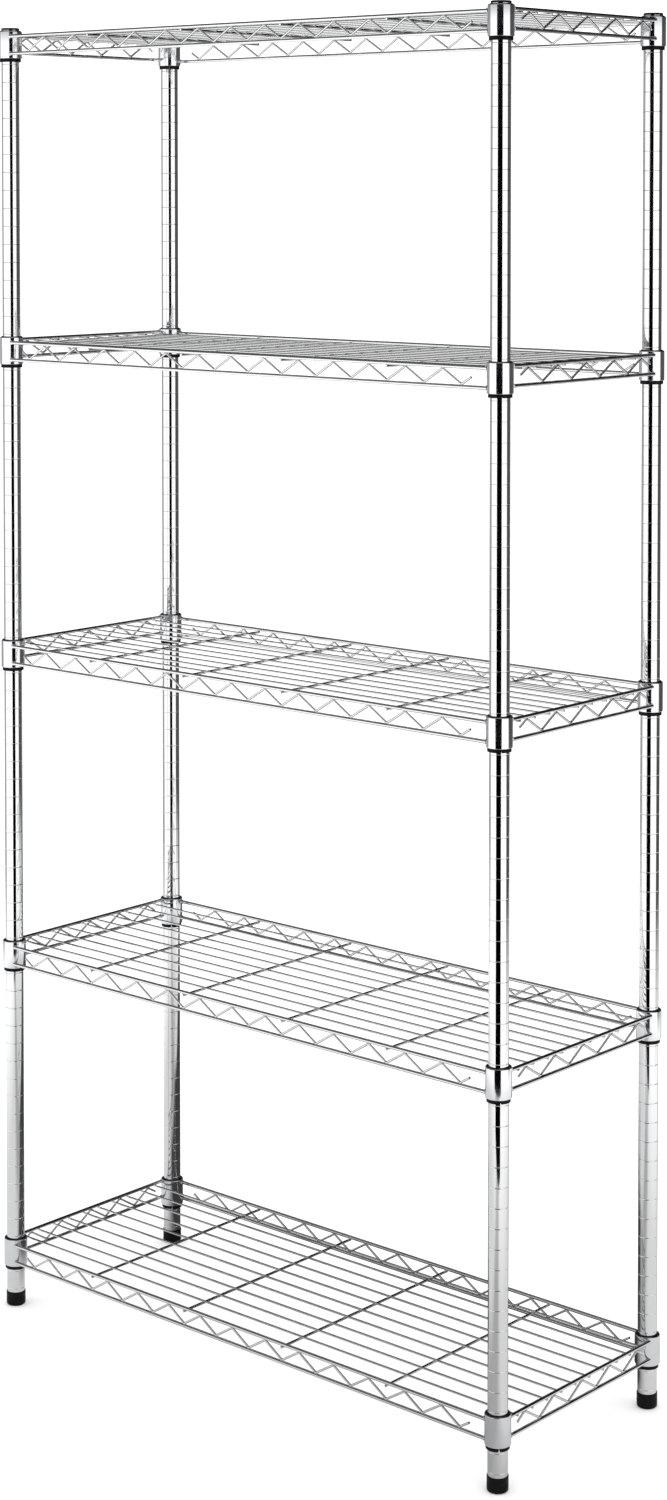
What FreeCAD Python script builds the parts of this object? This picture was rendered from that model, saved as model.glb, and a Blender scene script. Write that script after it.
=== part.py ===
import FreeCAD, Part
import math
import os

# Five-tier wire shelving rack. Millimetres, +Z up, +X along the shelves, -Y is the front.
# The origin is on the floor, under the middle of the rack.

Vector = FreeCAD.Vector
UP = Vector(0, 0, 1)

# ---------------------------------------------------------------- driving dimensions
post_spacing_x = 864.0        # post axis to post axis along the shelves
post_spacing_y = 314.0        # post axis to post axis from front to back
shelf_count = 5

post_radius = 12.5            # tube, outside
post_wall = 1.2
groove_pitch = 25.0           # height step of the rings rolled into the posts
groove_width = 2.2
groove_depth = 0.5
grooves_per_bay = 17          # grooves from one shelf to the next
first_shelf_groove = 3        # groove that holds the bottom shelf's sleeves
seam_groove = 35              # the post's two sections meet half a pitch above this groove
post_above_top_groove = 22.0

cap_thickness = 3.0           # black cap on top of the post
cap_plug_depth = 12.0
cap_edge_round = 1.4

foot_height = 19.5            # black levelling foot under the post
foot_overhang = 0.9           # the foot stands this much proud of the post
foot_edge_round = 3.0
foot_gap = 0.2                # foot to post when it is screwed right in
foot_floor = 5.0              # solid bottom of the foot under its stud
foot_plug_height = 25.0

stud_radius = 5.0
foot_stud_height = 50.0
joiner_stud_length = 36.0
joiner_plug_height = 20.0
stud_chamfer = 0.8
plug_chamfer = 0.6

sleeve_height = 43.5          # split plastic sleeve clipped on the post
sleeve_below_groove = 22.0
sleeve_wall_top = 1.6
sleeve_wall_bottom = 2.3
sleeve_split_gap = 0.9
sleeve_ridge_width = 1.4      # ridge inside the sleeve that sits in a groove
sleeve_notch_width = 3.2      # thumb notch where the halves meet
sleeve_notch_height = 2.8

collar_height = 38.0          # tapered steel collar at each shelf corner
collar_above_sleeve_foot = 4.7
collar_wall_bottom = 1.35
collar_bottom_round = 0.7
collar_top_round = 1.3

rail_radius = 2.4             # frame wire around the shelf
rail_inset = 5.3              # rail's axis inside the collar's outer face
rail_drop = 7.5               # long upper rail's axis under the collar's top
rail_height = 24.0            # upper rail's axis to lower rail's axis
truss_radius = 1.5            # zigzag wire between the rails
truss_pitch = 58.75
truss_bend = 4.0              # bend radius at the zigzag's crests, on the wire's axis
truss_end_margin = 22.0       # least distance from the post's axis to the zigzag's end
cross_radius = 1.75           # support wires, front to back
cross_pitch_in_waves = 3      # their spacing, in zigzag pitches
deck_radius = 1.4             # deck wires, end to end
deck_wires_per_wave = 2       # their spacing: this many to a zigzag pitch
wire_end_overhang = 2.0       # deck and cross wires end this far past a rail's axis
wire_to_collar = 2.0          # least room between a deck or cross wire and a collar
weld_sink = 0.3               # how far two welded wires sink into each other

# ---------------------------------------------------------------- named clearances
press_clearance = 0.05        # plugs and caps in the post's bore
stud_clearance = 0.05         # studs in their plugs and feet, on the radius
groove_clearance = 0.1        # sleeve's ridge in the groove
sleeve_clearance = 0.05       # sleeve's bore on the post
taper_clearance = 0.15        # collar on the sleeve's taper

# ---------------------------------------------------------------- sizes that follow
post_bore = post_radius - post_wall
post_bottom = foot_height + foot_gap
seam_height = (seam_groove + 0.5) * groove_pitch
shelf_grooves = [first_shelf_groove + level * grooves_per_bay for level in range(shelf_count)]
post_top = shelf_grooves[-1] * groove_pitch + post_above_top_groove

sleeve_top_radius = post_radius + sleeve_wall_top
sleeve_bottom_radius = post_radius + sleeve_wall_bottom
collar_radius = sleeve_bottom_radius + taper_clearance + collar_wall_bottom
rail_offset = collar_radius - rail_inset

# Heights over the sleeve's lower edge, which is each shelf's own datum.
long_rail_z = collar_above_sleeve_foot + collar_height - rail_drop
cross_z = long_rail_z - rail_radius - cross_radius + weld_sink
deck_z = cross_z + cross_radius + deck_radius - weld_sink
short_rail_z = deck_z + deck_radius + rail_radius - weld_sink

rail_line_x = post_spacing_x / 2 + rail_offset
rail_line_y = post_spacing_y / 2 + rail_offset
deck_pitch = truss_pitch / deck_wires_per_wave
cross_pitch = truss_pitch * cross_pitch_in_waves

CORNERS = {
    "front_left": (-1, -1),
    "front_right": (1, -1),
    "back_left": (-1, 1),
    "back_right": (1, 1),
}


def corner_axis(corner):
    """The point on the floor under a corner's post."""
    side_x, side_y = CORNERS[corner]
    return Vector(side_x * post_spacing_x / 2, side_y * post_spacing_y / 2, 0)


def at_corner(shape, corner, height=0.0):
    """A copy of a shape made around the Z axis, moved to a post and raised."""
    copy = shape.copy()
    copy.translate(corner_axis(corner) + UP * height)
    return copy


def at_every_corner(shape, height=0.0):
    return [at_corner(shape, corner, height) for corner in CORNERS]


def line(start, end):
    return Part.LineSegment(start, end).toShape()


def arc(start, middle, end):
    return Part.Arc(start, middle, end).toShape()


def section_point(radius, height):
    """A point of a half section, which lies in the XZ plane."""
    return Vector(radius, 0, height)


def rounded_corner(start, corner, end):
    """A quarter round that is tangent to start-corner and corner-end."""
    middle = start + end - corner
    bulge = (start - middle).Length
    toward = (corner - middle).normalize() * bulge
    return arc(start, middle + toward, end)


def revolve(edges):
    face = Part.Face(Part.Wire(edges))
    return face.revolve(Vector(0, 0, 0), UP, 360)


def revolve_outline(points):
    """A solid of revolution from a closed outline of (radius, height) pairs."""
    corners = [section_point(*point) for point in points]
    return revolve([line(a, b) for a, b in zip(corners, corners[1:] + corners[:1])])


def ring_plug(radius, bore, height):
    """A short cylinder with a bore and a small chamfer at both outer edges."""
    return revolve_outline([
        (bore, 0),
        (radius - plug_chamfer, 0),
        (radius, plug_chamfer),
        (radius, height - plug_chamfer),
        (radius - plug_chamfer, height),
        (bore, height),
    ])


def stud(length):
    return revolve_outline([
        (0, 0),
        (stud_radius - stud_chamfer, 0),
        (stud_radius, stud_chamfer),
        (stud_radius, length - stud_chamfer),
        (stud_radius - stud_chamfer, length),
        (0, length),
    ])


# ---------------------------------------------------------------- posts
def post_section(bottom, top):
    """A length of tube with a rounded ring groove at each groove height inside it."""
    first = math.floor(bottom / groove_pitch) + 1
    last = math.ceil(top / groove_pitch) - 1
    half = groove_width / 2
    edges = []
    at = section_point(post_radius, bottom)
    for number in range(first, last + 1):
        middle = number * groove_pitch
        if middle - half <= bottom or middle + half >= top:
            continue
        start = section_point(post_radius, middle - half)
        deep = section_point(post_radius - groove_depth, middle)
        end = section_point(post_radius, middle + half)
        edges.append(line(at, start))
        edges.append(arc(start, deep, end))
        at = end
    outline = [
        at,
        section_point(post_radius, top),
        section_point(post_bore, top),
        section_point(post_bore, bottom),
        section_point(post_radius, bottom),
    ]
    edges += [line(a, b) for a, b in zip(outline, outline[1:])]
    return revolve(edges)


def post_cap():
    """A plug in the post's bore under a round-edged cap as wide as the post."""
    plug = post_bore - press_clearance
    shoulder = section_point(post_radius, cap_thickness - cap_edge_round)
    rim = section_point(post_radius, cap_thickness)
    crown = section_point(post_radius - cap_edge_round, cap_thickness)
    outline = [
        crown,
        section_point(0, cap_thickness),
        section_point(0, -cap_plug_depth),
        section_point(plug - plug_chamfer, -cap_plug_depth),
        section_point(plug, plug_chamfer - cap_plug_depth),
        section_point(plug, 0),
        section_point(post_radius, 0),
        shoulder,
    ]
    edges = [line(a, b) for a, b in zip(outline, outline[1:])]
    return revolve(edges + [rounded_corner(shoulder, rim, crown)])


def foot_cup():
    """The black foot: a thick disc with a blind bore for its stud."""
    radius = post_radius + foot_overhang
    bore = stud_radius + stud_clearance
    sole = section_point(radius - foot_edge_round, 0)
    heel = section_point(radius, 0)
    side = section_point(radius, foot_edge_round)
    outline = [
        side,
        section_point(radius, foot_height - plug_chamfer),
        section_point(radius - plug_chamfer, foot_height),
        section_point(bore, foot_height),
        section_point(bore, foot_floor),
        section_point(0, foot_floor),
        section_point(0, 0),
        sole,
    ]
    edges = [line(a, b) for a, b in zip(outline, outline[1:])]
    return revolve(edges + [rounded_corner(sole, heel, side)])


# ---------------------------------------------------------------- sleeves and collars
def sleeve_outer_radius(height):
    """The sleeve's outside radius at a height over its lower edge."""
    share = height / sleeve_height
    return sleeve_bottom_radius + (sleeve_top_radius - sleeve_bottom_radius) * share


def split_sleeve():
    """A tapered sleeve with a ridge inside, cut in two halves along the plane Y = 0."""
    bore = post_radius + sleeve_clearance
    ridge = post_radius - groove_depth + groove_clearance
    half_ridge = sleeve_ridge_width / 2
    full = revolve_outline([
        (bore, 0),
        (sleeve_bottom_radius, 0),
        (sleeve_top_radius, sleeve_height),
        (bore, sleeve_height),
        (bore, sleeve_below_groove + half_ridge),
        (ridge, sleeve_below_groove + half_ridge / 2),
        (ridge, sleeve_below_groove - half_ridge / 2),
        (bore, sleeve_below_groove - half_ridge),
    ])
    reach = 2 * sleeve_bottom_radius
    saw = Part.makeBox(
        2 * reach,
        sleeve_split_gap,
        2 * sleeve_height,
        Vector(-reach, -sleeve_split_gap / 2, -sleeve_height / 2),
    )
    notch_points = [
        Vector(-reach, -sleeve_notch_width / 2, 0),
        Vector(-reach, sleeve_notch_width / 2, 0),
        Vector(-reach, 0, sleeve_notch_height),
    ]
    notch_face = Part.Face(Part.makePolygon(notch_points + notch_points[:1]))
    notch = notch_face.extrude(Vector(2 * reach, 0, 0))
    return full.cut(saw.fuse(notch)).Solids


def turned_to_diagonal(solid, corner):
    """Turns a sleeve half so that its split faces out along the corner's diagonal."""
    side_x, side_y = CORNERS[corner]
    copy = solid.copy()
    copy.rotate(Vector(0, 0, 0), UP, math.degrees(math.atan2(side_y, side_x)))
    return copy


def collar_outer_edges():
    """The collar's outside, from its bottom edge to its top edge."""
    top = collar_height
    foot_in = section_point(collar_radius - collar_bottom_round, 0)
    foot_corner = section_point(collar_radius, 0)
    foot_out = section_point(collar_radius, collar_bottom_round)
    lip_out = section_point(collar_radius, top - collar_top_round)
    lip_corner = section_point(collar_radius, top)
    lip_in = section_point(collar_radius - collar_top_round, top)
    return foot_in, lip_in, [
        rounded_corner(foot_in, foot_corner, foot_out),
        line(foot_out, lip_out),
        rounded_corner(lip_out, lip_corner, lip_in),
    ]


def collar(solid_inside=False):
    """The corner collar, or the same outside with no bore."""
    foot_in, lip_in, edges = collar_outer_edges()
    if solid_inside:
        inner_top = section_point(0, collar_height)
        inner_bottom = section_point(0, 0)
    else:
        low = collar_above_sleeve_foot
        high = low + collar_height
        inner_top = section_point(sleeve_outer_radius(high) + taper_clearance, collar_height)
        inner_bottom = section_point(sleeve_outer_radius(low) + taper_clearance, 0)
    closing = [lip_in, inner_top, inner_bottom, foot_in]
    return revolve(edges + [line(a, b) for a, b in zip(closing, closing[1:])])


# ---------------------------------------------------------------- shelf wires
def wire_along_x(radius, half_length, y, z):
    return Part.makeCylinder(radius, 2 * half_length, Vector(-half_length, y, z), Vector(1, 0, 0))


def wire_along_y(radius, half_length, x, z):
    return Part.makeCylinder(radius, 2 * half_length, Vector(x, -half_length, z), Vector(0, 1, 0))


def centred_rows(pitch, limit):
    """Evenly spaced places either side of 0, half a pitch off it, out to a limit."""
    per_side = math.floor(limit / pitch + 0.5)
    return [(number + 0.5) * pitch for number in range(-per_side, per_side)]


def zigzag_half_waves(post_spacing):
    """Half the zigzag's length in waves: it ends a quarter wave past its last crest."""
    room = (post_spacing - 2 * truss_end_margin) / truss_pitch
    return (math.floor(room - 0.5) + 0.5) / 2


def sharp_crest(crest):
    """Height of the sharp corner whose rounded crest, on the wire's axis, is at crest."""
    height = crest
    for _ in range(30):
        slope = math.atan(4 * height / truss_pitch)
        height = crest + truss_bend * (1 / math.cos(slope) - 1)
    return height


def zigzag_wire(post_spacing):
    """The zigzag in the XZ plane, centred on the origin, with a crest up at X = 0."""
    crest = rail_height / 2 - rail_radius - truss_radius + weld_sink
    peak = sharp_crest(crest)
    slope = math.atan(4 * peak / truss_pitch)
    half_waves = zigzag_half_waves(post_spacing)
    last = math.floor(2 * half_waves)
    corners = [
        Vector(number * truss_pitch / 2, 0, peak if number % 2 == 0 else -peak)
        for number in range(-last, last + 1)
    ]
    reach = half_waves * truss_pitch
    tangent_run = truss_bend * math.tan(slope)
    edges = []
    at = Vector(-reach, 0, 0)
    for number, corner in enumerate(corners):
        before = (corner - at).normalize()
        follower = corners[number + 1] if number + 1 < len(corners) else Vector(reach, 0, 0)
        after = (follower - corner).normalize()
        start = corner - before * tangent_run
        end = corner + after * tangent_run
        inward = (after - before).normalize()
        middle = corner + inward * (truss_bend / math.cos(slope) - truss_bend)
        edges.append(line(at, start))
        edges.append(arc(start, middle, end))
        at = end
    edges.append(line(at, Vector(reach, 0, 0)))
    path = Part.Wire(edges)
    heading = (edges[0].Vertexes[-1].Point - edges[0].Vertexes[0].Point).normalize()
    ring = Part.Wire([Part.makeCircle(truss_radius, Vector(-reach, 0, 0), heading)])
    return path.makePipeShell([ring], True, False)


def shelf_collars():
    return at_every_corner(collar(), collar_above_sleeve_foot)


def shelf_rails():
    """Two long and two short rails at each height, cut to the collars' faces."""
    blanks = []
    for side in (-1, 1):
        for drop in (0, rail_height):
            blanks.append(wire_along_x(
                rail_radius, post_spacing_x / 2, side * rail_line_y, long_rail_z - drop))
            blanks.append(wire_along_y(
                rail_radius, post_spacing_y / 2, side * rail_line_x, short_rail_z - drop))
    cutters = at_every_corner(collar(solid_inside=True), collar_above_sleeve_foot)
    rails = []
    for blank in blanks:
        rails += blank.cut(cutters).Solids
    return rails


def shelf_trusses():
    """A zigzag wire in the plane of each pair of rails."""
    long_zigzag = zigzag_wire(post_spacing_x)
    short_zigzag = zigzag_wire(post_spacing_y)
    short_zigzag.rotate(Vector(0, 0, 0), UP, 90)
    trusses = []
    for side in (-1, 1):
        front_or_back = long_zigzag.copy()
        front_or_back.translate(Vector(0, side * rail_line_y, long_rail_z - rail_height / 2))
        left_or_right = short_zigzag.copy()
        left_or_right.translate(Vector(side * rail_line_x, 0, short_rail_z - rail_height / 2))
        trusses += [front_or_back, left_or_right]
    return trusses


def shelf_deck_wires():
    limit = post_spacing_y / 2 - collar_radius - wire_to_collar - deck_radius
    half_length = rail_line_x + wire_end_overhang
    rows = centred_rows(deck_pitch, limit)
    return [wire_along_x(deck_radius, half_length, y, deck_z) for y in rows]


def shelf_cross_wires():
    limit = post_spacing_x / 2 - collar_radius - wire_to_collar - cross_radius
    half_length = rail_line_y + wire_end_overhang
    rows = centred_rows(cross_pitch, limit)
    return [wire_along_y(cross_radius, half_length, x, cross_z) for x in rows]


# ---------------------------------------------------------------- nodes
def save(name, solids):
    shape = solids[0] if len(solids) == 1 else Part.makeCompound(solids)
    if not shape.isValid():
        raise ValueError(name + " is not a valid shape")
    shape.exportStep("parts/" + name + ".step")


def make_posts():
    lower = post_section(post_bottom, seam_height)
    upper = post_section(seam_height, post_top)
    cap = post_cap()
    cup = foot_cup()
    foot_stud = stud(foot_stud_height)
    for corner in CORNERS:
        save("post_lower_" + corner, [at_corner(lower, corner)])
        save("post_upper_" + corner, [at_corner(upper, corner)])
        save("post_cap_" + corner, [at_corner(cap, corner, post_top)])
        save("foot_cup_" + corner, [at_corner(cup, corner)])
        save("foot_stud_" + corner, [at_corner(foot_stud, corner, foot_floor + foot_gap)])


def make_inner_fasteners():
    plug = post_bore - press_clearance
    bore = stud_radius + stud_clearance
    joiner_plug = ring_plug(plug, bore, joiner_plug_height)
    foot_plug = ring_plug(plug, bore, foot_plug_height)
    joiner = stud(joiner_stud_length)
    save("post_joiner_sockets", at_every_corner(joiner_plug, seam_height - joiner_plug_height))
    save("post_joiner_plugs", at_every_corner(joiner_plug, seam_height))
    save("post_joiner_studs", at_every_corner(joiner, seam_height - joiner_stud_length / 2))
    save("post_foot_plugs", at_every_corner(foot_plug, post_bottom))


def make_sleeves():
    halves = split_sleeve()
    for level, groove in enumerate(shelf_grooves, start=1):
        datum = groove * groove_pitch - sleeve_below_groove
        for side in ("left", "right"):
            corners = [corner for corner in CORNERS if corner.endswith(side)]
            pairs = [
                at_corner(turned_to_diagonal(half, corner), corner, datum)
                for corner in corners
                for half in halves
            ]
            save("sleeve_halves_" + str(level) + "_" + side, pairs)


def make_shelves():
    pieces = {
        "collars": shelf_collars(),
        "rails": shelf_rails(),
        "trusses": shelf_trusses(),
        "deck_wires": shelf_deck_wires(),
        "cross_wires": shelf_cross_wires(),
    }
    for level, groove in enumerate(shelf_grooves, start=1):
        datum = groove * groove_pitch - sleeve_below_groove
        for name, solids in pieces.items():
            raised = [solid.translated(UP * datum) for solid in solids]
            save("shelf_" + str(level) + "_" + name, raised)


os.makedirs("parts", exist_ok=True)
make_posts()
make_inner_fasteners()
make_sleeves()
make_shelves()
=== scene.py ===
"""Chrome wire rack with five lift-off shelves on four ringed posts.

Metres, +Z up, +X along the shelves, -Y is the front. The origin is on the floor under the rack.
"""

import math
from functools import partialmethod

import bmesh
import bpy
from bpy.props import FloatProperty, FloatVectorProperty, IntProperty, PointerProperty
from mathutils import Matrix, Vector


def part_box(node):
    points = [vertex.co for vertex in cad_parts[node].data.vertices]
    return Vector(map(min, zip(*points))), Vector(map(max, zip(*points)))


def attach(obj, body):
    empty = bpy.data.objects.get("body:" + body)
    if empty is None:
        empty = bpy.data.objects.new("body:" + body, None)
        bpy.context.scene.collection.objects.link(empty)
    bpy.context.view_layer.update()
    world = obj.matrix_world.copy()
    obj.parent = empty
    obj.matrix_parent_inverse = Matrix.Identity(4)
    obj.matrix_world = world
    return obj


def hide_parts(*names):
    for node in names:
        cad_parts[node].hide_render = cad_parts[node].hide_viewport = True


bl_info = {
    "name": "Wire Rack Finishes",
    "version": (1, 0, 0),
    "blender": (4, 5, 0),
    "location": "View3D > Sidebar > Wire Rack",
    "description": "Builds the visible pieces of a five-tier chrome wire rack on its frame",
    "category": "Add Mesh",
}

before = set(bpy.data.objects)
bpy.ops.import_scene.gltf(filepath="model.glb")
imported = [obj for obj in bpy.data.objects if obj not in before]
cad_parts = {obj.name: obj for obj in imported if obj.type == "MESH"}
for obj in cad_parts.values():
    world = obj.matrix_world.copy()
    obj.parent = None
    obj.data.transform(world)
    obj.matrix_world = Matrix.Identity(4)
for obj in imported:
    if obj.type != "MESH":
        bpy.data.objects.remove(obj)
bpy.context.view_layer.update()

CORNERS = ("front_left", "front_right", "back_left", "back_right")
SHELVES = (1, 2, 3, 4, 5)
DECK_WIRES = 10
CROSS_WIRES = 4
LONG_CRESTS = 27
SHORT_CRESTS = 9
RAIL_RADIUS = 0.0024
RAIL_DROP = 0.024
FIT = 0.00005


# ---------------- places read from the frame
def node_middle(node):
    low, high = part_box(node)
    return (low + high) / 2


def half_size(node, direction=0):
    """Half of a node's size along X (0) or Y (1)."""
    low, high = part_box(node)
    return (high[direction] - low[direction]) / 2


def post_axis(corner):
    """The point on the floor under a post."""
    middle = node_middle("post_lower_" + corner)
    return Vector((middle.x, middle.y, 0.0))


def rail_line(direction):
    """Distance from the middle of the shelf to its rails, across X or Y."""
    return half_size("shelf_1_rails", direction) - RAIL_RADIUS


def collar_touch():
    """Distance along a rail from a post's axis to its collar's outside."""
    return math.sqrt(COLLAR_RADIUS ** 2 - (rail_line(1) - POST_Y) ** 2)


POST_RADIUS = half_size("post_lower_front_left")
FOOT_RADIUS = half_size("foot_cup_front_left")
POST_X, POST_Y = (abs(reach) for reach in post_axis("front_left").xy)
COLLAR_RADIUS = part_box("shelf_1_collars")[1].x - POST_X


# ---------------- sizes and colours
def length(name, description, default, low=0.0, high=1.0):
    return FloatProperty(
        name=name, description=description, default=default,
        min=low, max=high, precision=5, subtype="DISTANCE", unit="LENGTH",
    )


def triple(name, description, default, **kind):
    return FloatVectorProperty(
        name=name, description=description, default=default, size=3, **kind
    )


def colour(name, description, default):
    return triple(name, description, default, min=0.0, max=1.0, subtype="COLOR")


def place(name, description, default):
    return triple(name, description, default, subtype="TRANSLATION", unit="LENGTH")


def share(name, description, default, high=1.0):
    return FloatProperty(
        name=name, description=description, default=default,
        min=0.0, max=high, subtype="FACTOR",
    )


class RackPostSizes(bpy.types.PropertyGroup):
    bore: length("Bore", "Inside radius of the post's tube", POST_RADIUS - 0.0012)
    groove_pitch: length("Groove pitch", "Height from one ring groove to the next", 0.025)
    groove_width: length("Groove width", "Height of one ring groove", 0.0014)
    groove_depth: length("Groove depth", "How deep a ring groove is rolled", 0.00015)
    sides: IntProperty(
        name="Sides", description="Faces around the tube", default=64, min=8, max=128
    )
    cap_round: length("Cap edge", "Round on the rim of the black cap", 0.0014)
    foot_round: length("Foot edge", "Round at the sole of the black foot", 0.003)
    thread_pitch: length("Thread pitch", "Rise of the foot's stud in one turn", 0.0015)
    thread_depth: length("Thread depth", "Crest to root of the stud's thread", 0.0008)


class RackShelfSizes(bpy.types.PropertyGroup):
    wave_pitch: length("Wave pitch", "Length of one wave of the zigzag wire", 0.05875)
    bend_radius: length("Bend radius", "Round at the zigzag's crests, on the wire's axis", 0.004)
    zigzag_radius: length("Zigzag wire", "Radius of the zigzag wire", 0.0015)
    deck_radius: length("Deck wire", "Radius of the lengthwise deck wires", 0.0014)
    cross_radius: length("Cross wire", "Radius of the wires from front to back", 0.00175)
    end_round: length("Wire end", "Chamfer at the cut end of a wire", 0.0004)
    bead_radius: length("Weld bead", "Size of the weld where a rail meets its collar", 0.0017)
    nugget_radius: length("Weld nugget", "Size of the spot weld where two wires cross", 0.0011)
    collar_round: length("Collar lip", "Round at the collar's upper edge", 0.0013)


class RackFinishes(bpy.types.PropertyGroup):
    chrome: colour("Chrome", "Colour of the bright plate", (0.83, 0.835, 0.84))
    chrome_haze: share("Chrome haze", "How dull the plate is where it is handled", 0.05)
    collar: colour("Collar chrome", "Colour of the collars' plate", (0.80, 0.815, 0.83))
    zinc: colour("Zinc", "Colour of the plated threads and plugs", (0.60, 0.60, 0.57))
    black: colour("Black plastic", "Colour of the caps, sleeves and feet", (0.004, 0.004, 0.0043))
    dust: colour("Dust", "Colour of the light dust on the black plastic", (0.16, 0.155, 0.15))


class RackStage(bpy.types.PropertyGroup):
    floor_colour: colour("Floor", "Colour of the plain pale floor", (0.93, 0.93, 0.93))
    # Painted shade: how bright the floor near the rack looks in reflections, darker than its own
    # pale colour
    floor_shaded_level: share(
        "Floor in reflections", "Share of the floor near the rack that the chrome mirrors", 0.62
    )
    room: share("Room light", "Strength of the soft light from all sides", 1.4, 4.0)
    mirrored: share(
        "Room in reflections", "Strength of the room where the chrome mirrors it", 1.35, 4.0
    )
    card: share("Dark card", "Brightness of the dark card in front of the rack", 0.0)
    card_width: length("Card width", "Width of the dark card", 1.08, 0.1, 4.0)
    card_place: place("Card place", "Place of the dark card on the floor", (0.914, -1.064, 0.0))
    lens: FloatProperty(name="Lens", description="Focal length", default=67.09, unit="CAMERA")
    eye: place("Camera", "Place of the camera", (2.482, -2.787, 1.5755))
    turn: triple(
        "Camera turn",
        "Rotation of the camera",
        (math.radians(87.652), 0.0, math.radians(41.356)),
        subtype="EULER",
        unit="ROTATION",
    )
    shift: FloatProperty(
        name="Shift",
        description="Vertical shift that frames the rack from a high camera",
        default=-0.297,
    )


def posts():
    return bpy.context.scene.rack_posts


def wires():
    return bpy.context.scene.rack_shelves


def finishes():
    return bpy.context.scene.rack_finishes


# ---------------- node tree helpers
class Tree:
    """A node tree being built, with short calls for adding and joining nodes."""

    def __init__(self, tree):
        self.tree = tree

    def add(self, kind, inputs=None, **settings):
        node = self.tree.nodes.new(kind)
        node.location.x = 180 * len(self.tree.nodes)
        for name, value in settings.items():
            setattr(node, name, value)
        for key, value in (inputs or {}).items():
            self.feed(node.inputs[key], value)
        return node

    def feed(self, socket, value):
        if isinstance(value, bpy.types.NodeSocket):
            self.tree.links.new(value, socket)
        elif isinstance(value, bpy.types.Node):
            self.tree.links.new(value.outputs[0], socket)
        else:
            socket.default_value = value

    def maths(self, operation, *values):
        return self.add("ShaderNodeMath", dict(enumerate(values)), operation=operation).outputs[0]

    plus = partialmethod(maths, "ADD")
    minus = partialmethod(maths, "SUBTRACT")
    times = partialmethod(maths, "MULTIPLY")
    over = partialmethod(maths, "DIVIDE")
    floor = partialmethod(maths, "FLOOR")
    above = partialmethod(maths, "GREATER_THAN")
    below = partialmethod(maths, "LESS_THAN")
    size_of = partialmethod(maths, "ABSOLUTE")

    def vectors(self, operation, *values):
        node = self.add("ShaderNodeVectorMath", dict(enumerate(values)), operation=operation)
        return node.outputs[0]

    def moved(self, geometry, position):
        return self.add(
            "GeometryNodeSetPosition", {"Geometry": geometry, "Position": position})

    def combine(self, x=0.0, y=0.0, z=0.0):
        return self.add("ShaderNodeCombineXYZ", {"X": x, "Y": y, "Z": z}).outputs[0]

    def spread(self, value, low, high, to_low=0.0, to_high=1.0):
        """A value's place between low and high, carried over to another range."""
        values = (value, low, high, to_low, to_high)
        return self.add("ShaderNodeMapRange", dict(enumerate(values))).outputs[0]

    def chosen(self, test, when_zero, when_one):
        return self.spread(test, 0.0, 1.0, when_zero, when_one)

    def blended(self, share_in, first, second):
        return self.add(
            "ShaderNodeMix", {"Factor": share_in, "A": first, "B": second}, data_type="FLOAT"
        ).outputs[0]

    def tinted(self, share_in, first, second):
        return self.add(
            "ShaderNodeMix", {0: share_in, 6: first, 7: second}, data_type="RGBA"
        ).outputs[2]

    def noise(self, scale, detail=3.0, rough=0.55, place=None):
        return self.add("ShaderNodeTexNoise", {
            "Vector": place or self.place,
            "Scale": scale,
            "Detail": detail,
            "Roughness": rough,
        }).outputs[0]


def emptied(owner):
    """The cleared node tree of a material or of the world."""
    owner.use_nodes = True
    owner.node_tree.nodes.clear()
    return Tree(owner.node_tree)


def new_socket(tree, label, kind, side="INPUT"):
    return tree.interface.new_socket(label, in_out=side, socket_type="NodeSocket" + kind)


def shared_tree(name, build):
    return bpy.data.node_groups.get(name) or build()


def shape_tree(name, **sockets):
    """An empty Geometry Nodes tree with named inputs and one geometry output."""
    tree = bpy.data.node_groups.new(name, "GeometryNodeTree")
    tree.is_modifier = True
    new_socket(tree, "Geometry", "Geometry")
    for kind, labels in sockets.items():
        for label in labels.split(", "):
            new_socket(tree, label, kind)
    new_socket(tree, "Material", "Material")
    new_socket(tree, "Geometry", "Geometry", "OUTPUT")
    kit = Tree(tree)
    return kit, kit.add("NodeGroupInput").outputs


def close_tree(kit, geometry, material):
    """Ends a tree as every one here ends: instances made real, then one material."""
    real = kit.add("GeometryNodeRealizeInstances", {0: geometry})
    painted = kit.add("GeometryNodeSetMaterial", {"Geometry": real, "Material": material})
    kit.add("NodeGroupOutput", {0: painted})
    return kit.tree


def shaped_by(shell, name, tree, values, start=None):
    """Adds to a shell the plain mesh that a tree makes with these input values."""
    mesh = start or bpy.data.meshes.new(name)
    maker = bpy.data.objects.new(name + "_maker", mesh)
    bpy.context.scene.collection.objects.link(maker)
    modifier = maker.modifiers.new("shape", "NODES")
    modifier.node_group = tree
    for item in tree.interface.items_tree:
        if item.item_type == "SOCKET" and item.in_out == "INPUT" and item.name in values:
            modifier[item.identifier] = values[item.name]
    bpy.context.view_layer.update()
    graph = bpy.context.evaluated_depsgraph_get()
    made = bpy.data.meshes.new_from_object(maker.evaluated_get(graph), depsgraph=graph)
    maker.modifiers.remove(modifier)
    bpy.data.objects.remove(maker)
    if len(made.polygons) == 0:
        raise ValueError(name + " came out empty")
    shell.from_mesh(made)


# ---------------- mesh helpers
def place_piece(name, shell, finish, body, node=None, angle=38.0):
    """A finished piece from a shell: outward faces, smooth shading, riding on its body."""
    bmesh.ops.remove_doubles(shell, verts=shell.verts, dist=2e-6)
    shell.normal_update()
    bmesh.ops.recalc_face_normals(shell, faces=shell.faces)
    mesh = bpy.data.meshes.new(name)
    shell.to_mesh(mesh)
    shell.free()
    mesh.materials.append(finish)
    mesh.shade_smooth()
    mesh.set_sharp_from_angle(angle=math.radians(angle))
    piece = bpy.data.objects.new(name, mesh)
    bpy.context.scene.collection.objects.link(piece)
    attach(piece, body)
    if node:
        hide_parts(node)


def place_on_shelf(kind, level, shell, finish, node=None, angle=38.0):
    """A finished piece that rides on one shelf."""
    place_piece("%s_shelf_%d" % (kind, level), shell, finish, "shelf_%d" % level, node, angle)


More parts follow.
